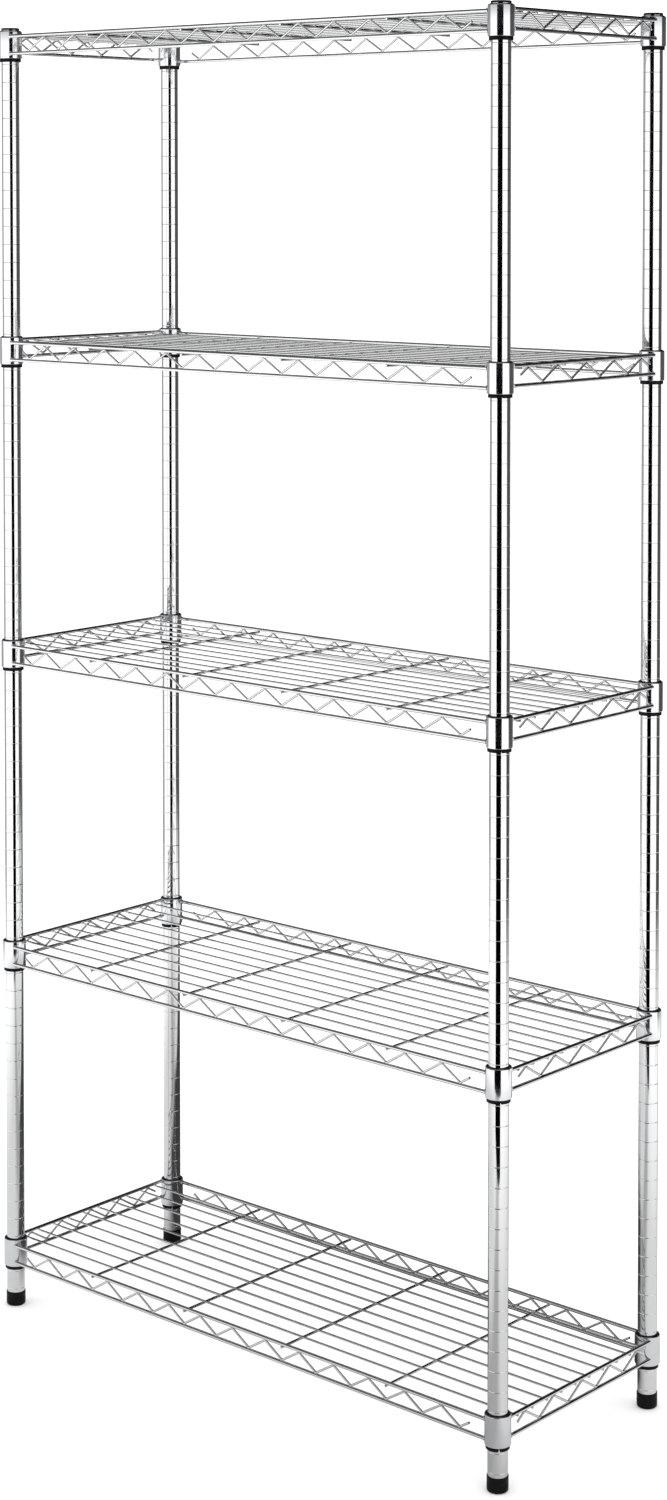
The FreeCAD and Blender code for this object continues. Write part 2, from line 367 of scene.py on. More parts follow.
def ring_faces(shell, rings):
    """Faces between neighbouring rings of vertices."""
    for lower, upper in zip(rings, rings[1:]):
        count = len(lower)
        for number in range(count):
            after = (number + 1) % count
            shell.faces.new((lower[number], lower[after], upper[after], upper[number]))


def round_points(sides):
    """Cosine and sine of each corner of a regular polygon."""
    for side in range(sides):
        angle = math.tau * side / sides
        yield math.cos(angle), math.sin(angle)


def turned(shell, outline, centre, sides=64):
    """A turned solid from an outline of (radius, height), on the axis at both ends or closed."""
    on_axis = outline[0][0] < 1e-9 and outline[-1][0] < 1e-9
    rings = [
        [
            shell.verts.new(centre + Vector((radius * cosine, radius * sine, height)))
            for cosine, sine in round_points(sides)
        ]
        for radius, height in (outline[1:-1] if on_axis else outline)
    ]
    ring_faces(shell, rings)
    if on_axis:
        shell.faces.new(list(reversed(rings[0])))
        shell.faces.new(rings[-1])
    else:
        ring_faces(shell, [rings[-1], rings[0]])


def quarter(corner_radius, corner_height, size, start, steps=6):
    """Points of a quarter round whose centre is given, from the angle start in degrees."""
    angles = [math.radians(start + 90 * step / steps) for step in range(steps + 1)]
    return [
        (corner_radius + size * math.cos(angle), corner_height + size * math.sin(angle))
        for angle in angles
    ]


def drawn_wire(shell, points, radius, sides):
    """A round bar through points, with flat closed ends."""
    rings = []
    for number, point in enumerate(points):
        before = points[max(number - 1, 0)]
        after = points[min(number + 1, len(points) - 1)]
        along = (after - before).normalized()
        aside = along.cross(Vector((0, 0, 1))).normalized()
        rise = aside.cross(along)
        rings.append([
            shell.verts.new(point + aside * radius * cosine + rise * radius * sine)
            for cosine, sine in round_points(sides)
        ])
    ring_faces(shell, rings)
    shell.faces.new(list(reversed(rings[0])))
    shell.faces.new(rings[-1])


# ---------------- shared surface effects
def effect_tree(name, inputs):
    """An empty shader group that puts out a colour, a roughness and a height."""
    tree = bpy.data.node_groups.new(name, "ShaderNodeTree")
    for label, (kind, default) in inputs.items():
        new_socket(tree, label, kind).default_value = default
    for label, kind in (("Colour", "Color"), ("Roughness", "Float"), ("Height", "Float")):
        new_socket(tree, label, kind, "OUTPUT")
    kit = Tree(tree)
    kit.place = kit.add("ShaderNodeTexCoord").outputs["Object"]
    return kit, kit.add("NodeGroupInput").outputs


def plating_effect():
    """Haze, mottling and grain on plated steel. Patches and Grain are noise scales."""
    kit, entry = effect_tree("plating", {
        "Colour": ("Color", (0.8, 0.8, 0.8, 1.0)),
        "Haze": ("Float", 0.05),
        "Shine": ("Float", 0.05),
        "Patches": ("Float", 14.0),
        "Grain": ("Float", 900.0),
        "Stretch": ("Vector", (1.0, 1.0, 1.0)),
    })
    patches = kit.spread(kit.noise(entry["Patches"], 4.0), 0.42, 0.74)
    specks = kit.spread(kit.noise(420.0, 2.0), 0.66, 0.78)
    worn = kit.plus(patches, kit.times(specks, 0.6))
    rough = kit.plus(entry["Shine"], kit.times(worn, entry["Haze"]))
    darker = kit.tinted(0.16, entry["Colour"], (0.36, 0.38, 0.42, 1.0))
    painted = kit.tinted(kit.times(worn, 0.5), entry["Colour"], darker)
    pulled = kit.vectors("MULTIPLY", kit.place, entry["Stretch"])
    grain = kit.noise(entry["Grain"], 2.0, 0.5, pulled)
    swell = kit.noise(60.0, 2.0, 0.5, pulled)
    height = kit.plus(kit.times(grain, 0.25), swell)
    kit.add("NodeGroupOutput", {"Colour": painted, "Roughness": rough, "Height": height})
    return kit.tree


def moulding_effect():
    """Fine moulded texture, flow marks and a little dust on black plastic."""
    kit, entry = effect_tree("moulding", {
        "Colour": ("Color", (0.01, 0.01, 0.01, 1.0)),
        "Dust": ("Color", (0.15, 0.15, 0.15, 1.0)),
        "Dust Amount": ("Float", 0.1),
        "Gloss": ("Float", 0.4),
        "Texture Scale": ("Float", 1600.0),
    })
    skin = kit.noise(entry["Texture Scale"], 2.0)
    flow = kit.noise(55.0, 3.0)
    dusty = kit.spread(kit.noise(130.0, 4.0, 0.7), 0.52, 0.8)
    facing = kit.add("ShaderNodeNewGeometry").outputs["Normal"]
    rising = kit.add("ShaderNodeSeparateXYZ", {0: facing}).outputs["Z"]
    upward = kit.spread(rising, 0.0, 1.0, 0.35, 1.0)
    cover = kit.times(kit.times(dusty, upward), entry["Dust Amount"])
    painted = kit.tinted(cover, entry["Colour"], entry["Dust"])
    marks = kit.spread(flow, 0.3, 0.7, -0.05, 0.07)
    rough = kit.plus(entry["Gloss"], kit.plus(marks, kit.times(cover, 0.5)))
    height = kit.plus(skin, kit.times(flow, 0.8))
    kit.add("NodeGroupOutput", {"Colour": painted, "Roughness": rough, "Height": height})
    return kit.tree


def surface(name, group, values, bump, metallic=0.0, specular=0.5):
    """A material with one shared effect feeding its shader; bump is (strength, distance)."""
    found = bpy.data.materials.get(name)
    if found:
        return found
    material = bpy.data.materials.new(name)
    kit = emptied(material)
    effect = kit.add("ShaderNodeGroup", values, node_tree=group)
    lift = kit.add("ShaderNodeBump", {
        "Strength": bump[0],
        "Distance": bump[1],
        "Height": effect.outputs["Height"],
    })
    shader = kit.add("ShaderNodeBsdfPrincipled", {
        "Base Color": effect.outputs["Colour"],
        "Metallic": metallic,
        "Roughness": effect.outputs["Roughness"],
        "Specular IOR Level": specular,
        "Normal": lift,
    })
    kit.add("ShaderNodeOutputMaterial", {"Surface": shader})
    return material


def rgba(value):
    return (*value, 1.0)


def plated(name, bump, **values):
    """Steel under a bright or a dull plate."""
    return surface(name, shared_tree("plating", plating_effect), values, bump, metallic=1.0)


def post_chrome():
    look = finishes()
    return plated(
        "bright_chrome_tube", (0.25, 0.00003),
        Colour=rgba(look.chrome), Haze=look.chrome_haze, Shine=0.045,
        Patches=9.0, Grain=700.0, Stretch=(1.0, 1.0, 0.04),
    )


def wire_chrome():
    look = finishes()
    return plated(
        "bright_chrome_wire", (0.3, 0.00004),
        Colour=rgba(look.chrome), Haze=look.chrome_haze * 1.4, Shine=0.07,
        Patches=22.0, Grain=900.0, Stretch=(0.5, 0.5, 0.5),
    )


def collar_chrome():
    look = finishes()
    return plated(
        "soft_chrome_collar", (0.3, 0.00005),
        Colour=rgba(look.collar), Haze=look.chrome_haze * 1.8, Shine=0.085,
        Patches=45.0, Grain=800.0, Stretch=(1.0, 1.0, 0.3),
    )


def zinc_plate():
    return plated(
        "dull_zinc_plate", (0.5, 0.00006),
        Colour=rgba(finishes().zinc), Haze=0.22, Shine=0.28,
        Patches=120.0, Grain=1500.0, Stretch=(1.0, 1.0, 1.0),
    )


def black_plastic(name, gloss, dust):
    return surface(
        name,
        shared_tree("moulding", moulding_effect),
        {
            "Colour": rgba(finishes().black),
            "Dust": rgba(finishes().dust),
            "Dust Amount": dust,
            "Gloss": gloss,
            "Texture Scale": 1500.0,
        },
        (0.35, 0.00008),
        specular=0.1,
    )


# ---------------- shape trees
GROOVE_ROWS = 7
END_ROWS = 5
WIRE_SIDES = 18
RAIL_SIDES = 24
ZIGZAG_SIDES = 14
BEND_STEPS = 7
BEAD_LUMPS = 900.0
BEAD_SWELL = 0.0003
BEAD_SIZES = (0.82, 1.12)
BEAD_LIFT = 0.7


def ringed_tube_tree():
    """A tube whose outside carries a rounded groove at every multiple of the pitch."""
    kit, entry = shape_tree(
        "ringed_tube",
        Float="Radius, Bore, Bottom, Top, Groove Pitch, Groove Width, Groove Depth",
        Int="Sides",
        Vector="Centre",
    )
    pitch = entry["Groove Pitch"]
    first = kit.plus(kit.floor(kit.over(entry["Bottom"], pitch)), 1.0)
    last = kit.minus(kit.maths("CEIL", kit.over(entry["Top"], pitch)), 1.0)
    count = kit.plus(kit.minus(last, first), 1.0)
    groove_rows = kit.times(count, float(GROOVE_ROWS))
    around = kit.plus(entry["Sides"], 1.0)
    grid = kit.add("GeometryNodeMeshGrid", {
        "Size X": 1.0,
        "Size Y": 1.0,
        "Vertices X": kit.plus(groove_rows, float(END_ROWS)),
        "Vertices Y": around,
    })
    index = kit.add("GeometryNodeInputIndex").outputs[0]
    row = kit.floor(kit.over(kit.plus(index, 0.5), around))
    column = kit.minus(index, kit.times(row, around))
    step = kit.minus(row, 1.0)
    number = kit.floor(kit.over(kit.plus(step, 0.5), float(GROOVE_ROWS)))
    within = kit.minus(step, kit.times(number, float(GROOVE_ROWS)))
    centre_row = (GROOVE_ROWS - 1) / 2
    across = kit.over(kit.minus(within, centre_row), centre_row)
    hollow = kit.minus(1.0, kit.times(across, across))
    groove_z = kit.plus(
        kit.times(kit.plus(first, number), pitch),
        kit.times(across, kit.times(entry["Groove Width"], 0.5)),
    )
    groove_r = kit.minus(entry["Radius"], kit.times(hollow, entry["Groove Depth"]))
    past = kit.minus(row, groove_rows)
    is_end = kit.above(past, 0.5)
    is_plain = kit.maths("MAXIMUM", is_end, kit.below(row, 0.5))
    is_inner = kit.times(kit.above(past, 1.5), kit.below(past, 3.5))
    is_top = kit.times(is_end, kit.below(past, 2.5))
    plain_r = kit.chosen(is_inner, entry["Radius"], entry["Bore"])
    plain_z = kit.chosen(is_top, entry["Bottom"], entry["Top"])
    radius = kit.chosen(is_plain, groove_r, plain_r)
    height = kit.chosen(is_plain, groove_z, plain_z)
    angle = kit.times(kit.over(column, entry["Sides"]), math.tau)
    spot = kit.combine(
        kit.times(radius, kit.maths("COSINE", angle)),
        kit.times(radius, kit.maths("SINE", angle)),
        height,
    )
    placed = kit.moved(grid, kit.vectors("ADD", spot, entry["Centre"]))
    joined = kit.add("GeometryNodeMergeByDistance", {"Geometry": placed, "Distance": 0.000002})
    return close_tree(kit, joined, entry["Material"])


def swept(kit, path, sides, radius, **scale):
    """A round closed bar along a curve."""
    ring = kit.add("GeometryNodeCurvePrimitiveCircle", {"Resolution": sides, "Radius": radius})
    return kit.add("GeometryNodeCurveToMesh", {
        "Curve": path, "Profile Curve": ring.outputs[0], "Fill Caps": True, **scale})


def laid_across(kit, entry, bar, count, shift):
    """Copies of a bar along X, each shifted sideways, turned and lifted together."""
    turn = entry["Turn"]
    spots = kit.moved(kit.add("GeometryNodeMeshLine", {"Count": count}), kit.combine(
        kit.times(kit.maths("SINE", turn), kit.times(shift, -1.0)),
        kit.times(kit.maths("COSINE", turn), shift),
        entry["Height"],
    ))
    copies = kit.add("GeometryNodeInstanceOnPoints", {
        "Points": spots,
        "Instance": bar,
        "Rotation": kit.combine(0.0, 0.0, turn),
    })
    return close_tree(kit, copies, entry["Material"])


def wire_rows_tree():
    """A row of equal round wires with chamfered ends, lying along X or turned along Y."""
    kit, entry = shape_tree(
        "wire_rows",
        Float="Pitch, Reach, Radius, Height, Chamfer, Turn",
        Int="Count, Sides",
    )
    index = kit.add("GeometryNodeInputIndex").outputs[0]
    line = kit.add("GeometryNodeMeshLine", {"Count": 4})
    side = kit.minus(kit.times(kit.above(index, 1.5), 2.0), 1.0)
    is_tip = kit.above(kit.size_of(kit.minus(index, 1.5)), 1.0)
    inset = kit.times(kit.minus(1.0, is_tip), entry["Chamfer"])
    along = kit.times(side, kit.minus(entry["Reach"], inset))
    laid = kit.moved(line, kit.combine(along))
    trimmed = kit.over(kit.times(is_tip, entry["Chamfer"]), entry["Radius"])
    sized = kit.add("GeometryNodeSetCurveRadius", {
        "Curve": kit.add("GeometryNodeMeshToCurve", {0: laid}),
        "Radius": kit.minus(1.0, trimmed),
    })
    own_radius = kit.add("GeometryNodeInputRadius")
    bar = swept(kit, sized, entry["Sides"], entry["Radius"], Scale=own_radius)
    middle = kit.times(kit.minus(entry["Count"], 1.0), 0.5)
    shift = kit.times(kit.minus(index, middle), entry["Pitch"])
    return laid_across(kit, entry, bar, entry["Count"], shift)


def zigzag_tree():
    """A wire bent in even waves with rounded crests, copied to both sides of the shelf."""
    kit, entry = shape_tree(
        "zigzag_wire",
        Float="Pitch, Peak, Reach, Bend Radius, Wire Radius, Side, Height, Turn",
        Int="Crests",
    )
    index = kit.add("GeometryNodeInputIndex").outputs[0]
    half = kit.over(kit.minus(entry["Crests"], 1.0), 2.0)
    line = kit.add("GeometryNodeMeshLine", {"Count": kit.plus(entry["Crests"], 2.0)})
    number = kit.minus(kit.minus(index, 1.0), half)
    along = kit.times(number, kit.times(entry["Pitch"], 0.5))
    low_end = kit.times(entry["Reach"], -1.0)
    held = kit.maths("MINIMUM", kit.maths("MAXIMUM", along, low_end), entry["Reach"])
    swing = kit.maths("COSINE", kit.times(number, math.pi))
    is_tip = kit.above(kit.size_of(number), kit.plus(half, 0.5))
    rise = kit.times(kit.times(swing, entry["Peak"]), kit.minus(1.0, is_tip))
    bent = kit.moved(line, kit.combine(held, 0.0, rise))
    rounded = kit.add("GeometryNodeFilletCurve", {
        "Curve": kit.add("GeometryNodeMeshToCurve", {0: bent}),
        "Count": BEND_STEPS,
        "Radius": entry["Bend Radius"],
    }, mode="POLY")
    bar = swept(kit, rounded, ZIGZAG_SIDES, entry["Wire Radius"])
    shift = kit.times(kit.minus(kit.times(index, 2.0), 1.0), entry["Side"])
    return laid_across(kit, entry, bar, 2, shift)


def weld_tree():
    """A small uneven bead of weld on every point, turned and sized a little at random."""
    kit, entry = shape_tree("weld_beads", Float="Radius, Flatness", Int="Seed")
    bead = kit.add("GeometryNodeMeshIcoSphere", {"Radius": entry["Radius"], "Subdivisions": 2})
    lumps = kit.add("ShaderNodeTexNoise", {"Scale": BEAD_LUMPS}).outputs["Color"]
    lumpy = kit.add("GeometryNodeSetPosition", {
        "Geometry": bead,
        "Offset": kit.vectors("MULTIPLY", lumps, (BEAD_SWELL,) * 3),
    })
    size = kit.add("FunctionNodeRandomValue", {
        2: BEAD_SIZES[0], 3: BEAD_SIZES[1], "Seed": entry["Seed"]}, data_type="FLOAT").outputs[1]
    turn = kit.add("FunctionNodeRandomValue", {
        2: 0.0, 3: math.tau, "Seed": kit.plus(entry["Seed"], 7.0)}, data_type="FLOAT").outputs[1]
    spotted = kit.add("GeometryNodeInstanceOnPoints", {
        "Points": entry["Geometry"],
        "Instance": lumpy,
        "Rotation": kit.combine(0.0, 0.0, turn),
        "Scale": kit.combine(size, size, kit.times(size, entry["Flatness"])),
    })
    return close_tree(kit, spotted, entry["Material"])


# ---------------- studio, by compass direction
# Stops of (degrees round the Z axis from +X, brightness in reflections).
WALLS = (
    (-180.0, 0.30), (-158.0, 0.30), (-149.0, 1.0), (24.0, 1.0), (32.0, 0.06), (90.0, 0.08),
    (112.0, 0.35), (135.0, 0.42), (165.0, 0.30), (180.0, 0.30),
)
CEILING = (
    (-180.0, 0.05), (-130.0, 0.10), (-85.0, 0.30), (-10.0, 0.30), (25.0, 0.20), (38.0, 0.002),
    (112.0, 0.002), (131.0, 0.03), (180.0, 0.05),
)
CEILING_EDGE = (0.05, 0.22)

# The floor's painted shade, seen only in reflections: patches near, behind and ahead of the rack.
# Each pair of distances is a soft edge.
FLOOR_REACH = 40.0
DIM_EDGE = (1.0, 1.9)
RIM_EDGE = (1.7, 3.0)
BACK_SLOPE, BACK_EDGE = 0.55, (-0.24, -0.06)
LEFT_SLOPE, LEFT_EDGE = 1.3, (-0.6, -0.3)
RIGHT_EDGE = (0.34, 0.46)
BACK_PAINTED_SHADE = 0.93
AHEAD_X, AHEAD_Y = 0.65, 0.76
AHEAD_EDGE = (0.1, 0.3)
STRIP_EDGE = (0.14, 0.40)
STRIP_PAINTED_SHADE = 0.42
CARD_FOOT, CARD_HEAD = 0.02, 2.6


def compass_band(kit, parts, bands):
    """Brightness by direction round the Z axis."""
    angle = kit.maths("ARCTAN2", parts["Y"], parts["X"])
    ramp = kit.add("ShaderNodeValToRGB", {0: kit.plus(kit.over(angle, math.tau), 0.5)})
    stops = ramp.color_ramp.elements
    while len(stops) < len(bands):
        stops.new(0.5)
    for stop, (degrees, level) in zip(stops, bands):
        stop.position = degrees / 360.0 + 0.5
        stop.color = (level, level, level, 1.0)
    return ramp.outputs[0]


# ---------------- operators
class RACK_OT_stage(bpy.types.Operator):
    """Lays the floor, sets the soft studio light and places the camera"""

    bl_idname = "rack.stage"
    bl_label = "Stage"

    def execute(self, context):
        setup = context.scene.rack_stage
        corners = [
            (side_x * FLOOR_REACH, side_y * FLOOR_REACH, 0)
            for side_x, side_y in ((-1, -1), (1, -1), (1, 1), (-1, 1))
        ]
        self.board("studio_floor", corners, self.floor_finish(setup))
        self.dark_card(setup)
        self.room_light(context, setup)
        lens = bpy.data.cameras.new("camera")
        lens.lens = setup.lens
        lens.sensor_width = 36.0
        lens.shift_y = setup.shift
        lens.clip_end = 200.0
        camera = bpy.data.objects.new("camera", lens)
        camera.location = setup.eye
        camera.rotation_euler = setup.turn
        context.scene.collection.objects.link(camera)
        context.scene.camera = camera
        context.scene.view_settings.view_transform = "Standard"
        return {"FINISHED"}

    def board(self, name, corners, finish):
        """A flat piece of the studio."""
        mesh = bpy.data.meshes.new(name)
        mesh.from_pydata(corners, [], [(0, 1, 2, 3)])
        mesh.materials.append(finish)
        made = bpy.data.objects.new(name, mesh)
        bpy.context.scene.collection.objects.link(made)
        return made

    def floor_finish(self, setup):
        """Pale matt paper. Only reflections see its painted shade: dark patches near, behind and
        ahead of the rack, and its rim painted like the walls.
        """
        material = bpy.data.materials.new("pale_floor")
        kit = emptied(material)
        kit.place = kit.add("ShaderNodeTexCoord").outputs["Object"]
        spot = kit.add("ShaderNodeSeparateXYZ", {0: kit.place}).outputs
        x, y = spot["X"], spot["Y"]
        away = kit.add("ShaderNodeVectorMath", {0: kit.place}, operation="LENGTH").outputs["Value"]
        # Painted shade: the floor is darker near the rack, in reflections only
        bright = kit.spread(away, *DIM_EDGE, setup.floor_shaded_level, 1.0)
        # Painted shade behind the rack
        behind = kit.times(
            kit.spread(kit.minus(y, kit.times(x, BACK_SLOPE)), *BACK_EDGE),
            kit.spread(kit.plus(y, kit.times(x, LEFT_SLOPE)), *LEFT_EDGE),
        )
        behind = kit.times(behind, kit.spread(x, *RIGHT_EDGE, 1.0, 0.0))
        # Painted shade in a strip running out ahead of the rack
        across = kit.plus(kit.times(x, AHEAD_Y), kit.times(y, AHEAD_X))
        ahead = kit.minus(kit.times(x, AHEAD_X), kit.times(y, AHEAD_Y))
        strip = kit.spread(kit.size_of(across), *STRIP_EDGE, STRIP_PAINTED_SHADE, 0.0)
        strip = kit.times(strip, kit.spread(ahead, *AHEAD_EDGE))
        bright = kit.times(bright, kit.minus(1.0, strip))
        near = kit.times(bright, kit.minus(1.0, kit.times(behind, BACK_PAINTED_SHADE)))
        # The far rim is painted with the walls' brightness, a painted reflection of the room
        rim = compass_band(kit, spot, WALLS)
        level = kit.blended(kit.spread(away, *RIM_EDGE), near, rim)
        pale = rgba(setup.floor_colour)
        # Only glossy rays see the colour darkened by this painted shade; the camera sees the plain
        # pale floor
        mirrored = kit.add("ShaderNodeLightPath").outputs["Is Glossy Ray"]
        paint = kit.add("ShaderNodeBsdfPrincipled", {
            "Base Color": kit.tinted(mirrored, pale, kit.tinted(level, rgba((0, 0, 0)), pale)),
            "Roughness": kit.spread(kit.noise(3.0), 0.3, 0.7, 0.85, 0.98),
            "Specular IOR Level": 0.0,
        })
        kit.add("ShaderNodeOutputMaterial", {"Surface": paint})
        return material

    def dark_card(self, setup):
        """A dark board that only reflections see, for the stripe down the front post."""
        centre = Vector(setup.card_place)
        across = Vector((-centre.y, centre.x, 0.0)).normalized() * setup.card_width / 2
        foot, head = Vector((0, 0, CARD_FOOT)), Vector((0, 0, CARD_HEAD))
        low_left, low_right = centre - across + foot, centre + across + foot
        high_left, high_right = centre - across + head, centre + across + head
        material = bpy.data.materials.new("card_black")
        kit = emptied(material)
        glow = kit.add("ShaderNodeEmission", {"Color": (1, 1, 1, 1), "Strength": setup.card})
        kit.add("ShaderNodeOutputMaterial", {"Surface": glow})
        card = self.board("studio_card", [low_left, low_right, high_right, high_left], material)
        card.visible_camera = False
        card.visible_diffuse = False
        card.visible_shadow = False
        card.visible_transmission = False

    def room_light(self, context, setup):
        """A bright soft room. Only reflections see its dark far wall and its dim ceiling."""
        world = bpy.data.worlds.new("studio")
        context.scene.world = world
        kit = emptied(world)
        ray = kit.add("ShaderNodeTexCoord").outputs["Generated"]
        parts = kit.add("ShaderNodeSeparateXYZ", {0: ray}).outputs
        walls = compass_band(kit, parts, WALLS)
        ceiling = compass_band(kit, parts, CEILING)
        shade = kit.blended(kit.spread(parts["Z"], *CEILING_EDGE), walls, ceiling)
        path = kit.add("ShaderNodeLightPath").outputs
        mirrored = kit.times(shade, setup.mirrored)
        glow = kit.blended(path["Is Glossy Ray"], setup.room, mirrored)
        back = kit.add("ShaderNodeBackground", {"Color": (1, 1, 1, 1), "Strength": glow})
        kit.add("ShaderNodeOutputWorld", {"Surface": back})


class RACK_OT_posts(bpy.types.Operator):
    """Makes the ringed tube sections of the four posts"""

    bl_idname = "rack.posts"
    bl_label = "Posts"

    def execute(self, context):
        tree = shared_tree("ringed_tube", ringed_tube_tree)
        sizes = posts()
        for corner in CORNERS:
            for part in ("lower", "upper"):
                node = "post_%s_%s" % (part, corner)
                low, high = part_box(node)
                shell = bmesh.new()
                shaped_by(shell, node, tree, {
                    "Radius": POST_RADIUS,
                    "Bore": sizes.bore,
                    "Bottom": low.z,
                    "Top": high.z,
                    "Groove Pitch": sizes.groove_pitch,
                    "Groove Width": sizes.groove_width,
                    "Groove Depth": sizes.groove_depth,
                    "Sides": sizes.sides,
                    "Centre": post_axis(corner),
                    "Material": post_chrome(),
                })
                name = "tube_%s_%s" % (part, corner)
                place_piece(name, shell, post_chrome(), "frame", node, 8.0)
        return {"FINISHED"}


class RACK_OT_caps(bpy.types.Operator):
    """Makes the black plugs that close the tops of the posts"""

    bl_idname = "rack.caps"
    bl_label = "Post caps"

    def execute(self, context):
        finish = black_plastic("black_cap_plastic", 0.36, 0.14)
        edge = posts().cap_round
        plug = posts().bore - FIT
        chamfer, dish = 0.0006, 0.0002
        for corner in CORNERS:
            node = "post_cap_" + corner
            low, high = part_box(node)
            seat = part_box("post_upper_" + corner)[1].z
            outline = [(0.0, low.z), (plug - chamfer, low.z), (plug, low.z + chamfer)]
            outline += [(plug, seat), (POST_RADIUS, seat)]
            outline += quarter(POST_RADIUS - edge, high.z - edge, edge, 0)
            outline += [(POST_RADIUS * 0.55, high.z), (POST_RADIUS * 0.5, high.z - dish)]
            outline += [(0.0, high.z - dish)]
            shell = bmesh.new()
            turned(shell, outline, post_axis(corner))
            place_piece("cap_" + corner, shell, finish, "frame", node)
        return {"FINISHED"}


class RACK_OT_feet(bpy.types.Operator):
    """Makes the black levelling feet"""

    bl_idname = "rack.feet"
    bl_label = "Feet"

    def execute(self, context):
        finish = black_plastic("black_foot_plastic", 0.30, 0.12)
        edge = posts().foot_round
        lip, arch, mouth = 0.0006, 0.0004, 0.0005
        waist = FOOT_RADIUS - 0.00012
        score = ((FOOT_RADIUS, 0.0075), (waist, 0.0072), (waist, 0.0068), (FOOT_RADIUS, 0.0065))
        for corner in CORNERS:
            node = "foot_cup_" + corner
            stud = "foot_stud_" + corner
            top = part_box(node)[1].z
            bore = half_size(stud) + FIT
            floor_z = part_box(stud)[0].z - 0.0002
            outline = [(0.0, arch), (FOOT_RADIUS * 0.45, arch), (FOOT_RADIUS * 0.5, 0.0)]
            outline += quarter(FOOT_RADIUS - edge, edge, edge, -90)
            outline += [(radius, top - drop) for radius, drop in score]
            outline += quarter(FOOT_RADIUS - lip, top - lip, lip, 0, 3)
            outline += [(bore + mouth, top), (bore, top - mouth), (bore, floor_z), (0.0, floor_z)]
            shell = bmesh.new()
            turned(shell, outline, post_axis(corner))
            foot = "foot_" + corner
            place_piece(foot, shell, finish, foot, node)
        return {"FINISHED"}


class RACK_OT_foot_studs(bpy.types.Operator):
    """Cuts the thread on the studs that carry the feet"""

    bl_idname = "rack.foot_studs"
    bl_label = "Foot studs"

    def execute(self, context):
        for corner in CORNERS:
            node = "foot_stud_" + corner
            low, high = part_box(node)
            shell = bmesh.new()
            self.threaded_rod(shell, post_axis(corner), half_size(node), low.z, high.z)
            place_piece("stud_" + corner, shell, zinc_plate(), node, node, 25.0)
        return {"FINISHED"}

    def threaded_rod(self, shell, centre, crest, bottom, top):
        pitch, depth, sides, lead_in = posts().thread_pitch, posts().thread_depth, 24, 0.0008
        profile = [(0.0, 0.0), (0.4, 1.0), (0.55, 1.0), (0.95, 0.0)]
        step = len(profile)
        turns = math.ceil((top - bottom) / pitch) + 1
        rings = []
        for number in range(turns * step):
            turn, place_in = divmod(number, step)
            rise, swell = profile[place_in]
            ring = []
            for side, (cosine, sine) in enumerate(round_points(sides)):
                height = bottom + pitch * (turn - 1 + rise + side / sides)
                held = min(max(height, bottom), top)
                taper = min(1.0, (held - bottom) / lead_in, (top - held) / lead_in)
                radius = crest - depth * (1.0 - swell * max(taper, 0.0))
                ring.append(shell.verts.new(
                    centre + Vector((radius * cosine, radius * sine, held))))
            rings.append(ring)
        for lower, upper in zip(rings, rings[1:]):
            for side in range(sides - 1):
                shell.faces.new((lower[side], lower[side + 1], upper[side + 1], upper[side]))
        for number in range(len(rings) - step - 1):
            lower, upper = rings[number], rings[number + 1]
            shell.faces.new((
                lower[-1], rings[number + step][0], rings[number + step + 1][0], upper[-1]))
        bmesh.ops.remove_doubles(shell, verts=shell.verts, dist=1e-7)
        bmesh.ops.dissolve_degenerate(shell, edges=shell.edges, dist=1e-7)
        open_edges = [edge for edge in shell.edges if edge.is_boundary]
        bmesh.ops.holes_fill(shell, edges=open_edges, sides=0)


def refinish(node, finish):
    """Puts a better material in a kept node's slots."""
    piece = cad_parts[node]
    if not piece.material_slots:
        raise ValueError(node + " has no material slot")
    for slot in piece.material_slots:
        slot.material = finish


class RACK_OT_fasteners(bpy.types.Operator):
    """Gives the plugs and joining studs inside the posts their plated finish"""

    bl_idname = "rack.fasteners"
    bl_label = "Inner plugs and studs"

    def execute(self, context):
        for part in ("foot_plugs", "joiner_sockets", "joiner_plugs", "joiner_studs"):
            refinish("post_" + part, zinc_plate())
        return {"FINISHED"}


class RACK_OT_sleeves(bpy.types.Operator):
    """Gives the split sleeves under the collars their moulded finish"""

    bl_idname = "rack.sleeves"
    bl_label = "Split sleeves"

    def execute(self, context):
        finish = black_plastic("black_sleeve_plastic", 0.42, 0.1)
        for level in SHELVES:
            for side in ("left", "right"):
                refinish("sleeve_halves_%d_%s" % (level, side), finish)
        return {"FINISHED"}


class RACK_OT_collars(bpy.types.Operator):
    """Makes the tapered corner collars of every shelf"""

    bl_idname = "rack.collars"
    bl_label = "Collars"

    def execute(self, context):
        lip = wires().collar_round
        wall, clearance, taper = 0.00135, 0.00008, 0.00061
        edge, low_chamfer, high_chamfer = 0.0007, 0.0003, 0.0004
        inner_low = COLLAR_RADIUS - wall - clearance
        inner_high = inner_low - taper
        for level in SHELVES:
            node = "shelf_%d_collars" % level
            low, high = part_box(node)
            outline = [(inner_low, low.z + low_chamfer), (inner_low + low_chamfer, low.z)]
            outline += quarter(COLLAR_RADIUS - edge, low.z + edge, edge, -90, 5)
            outline += quarter(COLLAR_RADIUS - lip, high.z - lip, lip, 0, 7)
            outline += [(inner_high + high_chamfer, high.z), (inner_high, high.z - high_chamfer)]
            shell = bmesh.new()
            for corner in CORNERS:
                turned(shell, outline, post_axis(corner), 72)
            place_on_shelf("collars", level, shell, collar_chrome(), node, 50.0)
        return {"FINISHED"}


def rail_heights(level):
    """Axis heights of the long upper, long lower, short upper and short lower rails."""
    low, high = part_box("shelf_%d_rails" % level)
    short_upper = high.z - RAIL_RADIUS
    long_lower = low.z + RAIL_RADIUS
    return long_lower + RAIL_DROP, long_lower, short_upper, short_upper - RAIL_DROP


